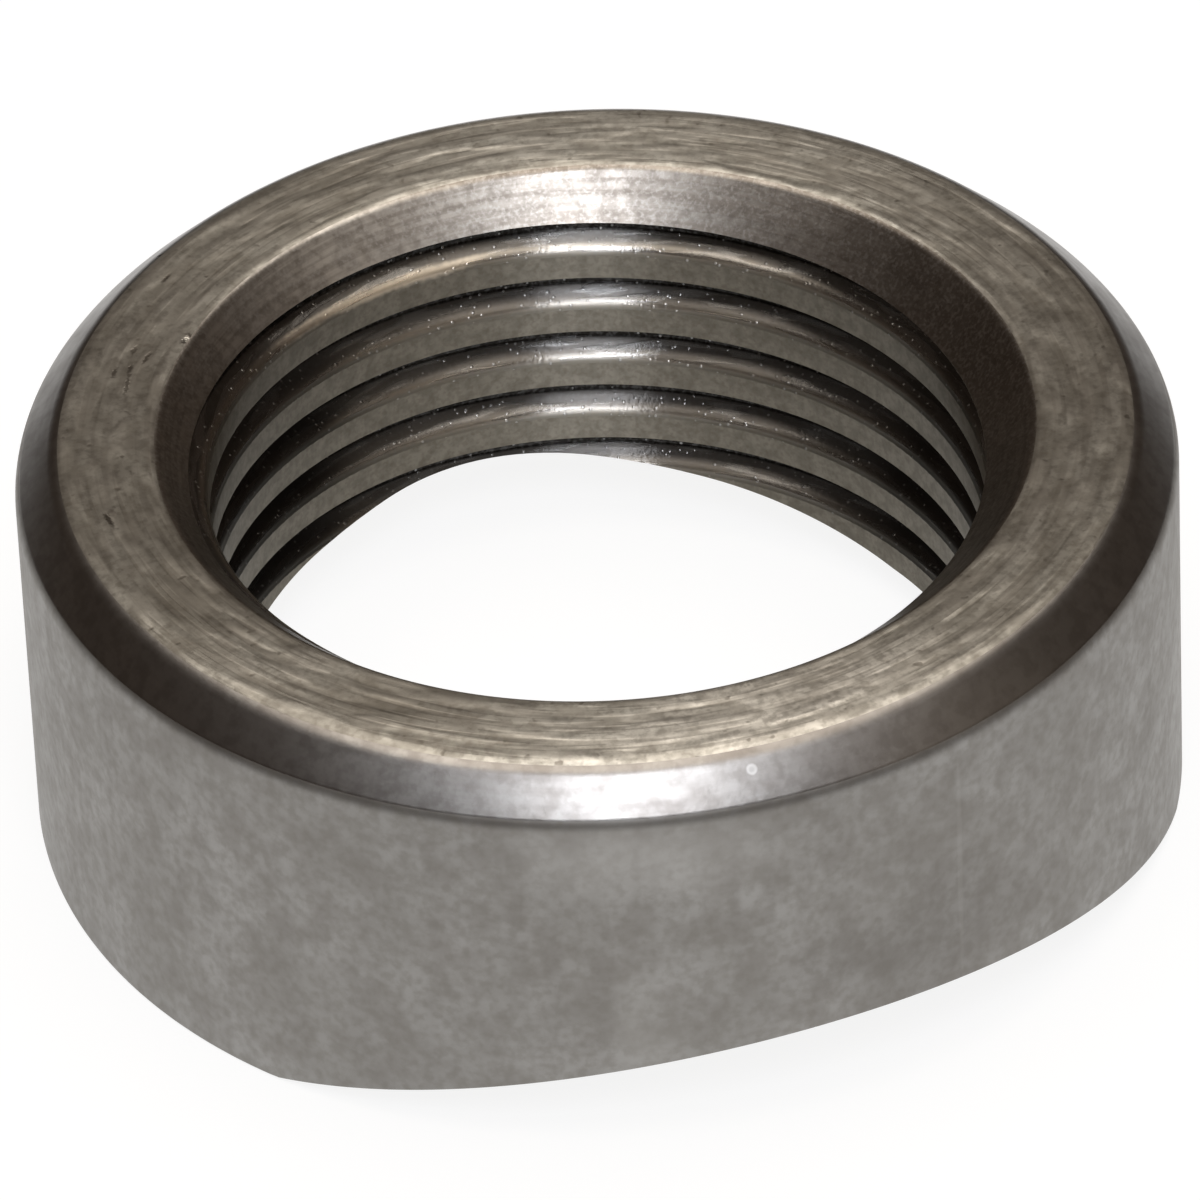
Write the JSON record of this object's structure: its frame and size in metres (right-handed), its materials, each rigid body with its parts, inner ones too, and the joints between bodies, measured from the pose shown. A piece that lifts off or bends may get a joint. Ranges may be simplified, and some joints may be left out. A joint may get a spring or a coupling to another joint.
{
  "type": "oxygen sensor bung",
  "caption": "Short turned steel ring with a tapped bore, countersunk mouth and chamfered rim; its notched foot sits astride an exhaust tube, where it is welded to hold an oxygen sensor.",
  "frame": {"origin": "on the thread's axis, in the plane of the two flat feet that it stands on", "axes": "+Z along the thread's axis, out of the countersunk mouth; Y along the exhaust tube; the two legs of the notch at -X and +X"},
  "size_m": [0.0254, 0.0254, 0.0095],
  "materials": {
    "steel": "turned mild steel, satin, dull on the bar's outside and brighter on the cut chamfers"
  },
  "bodies": {
    "root": {"weld_bung": "steel"}
  },
  "joints": []
}
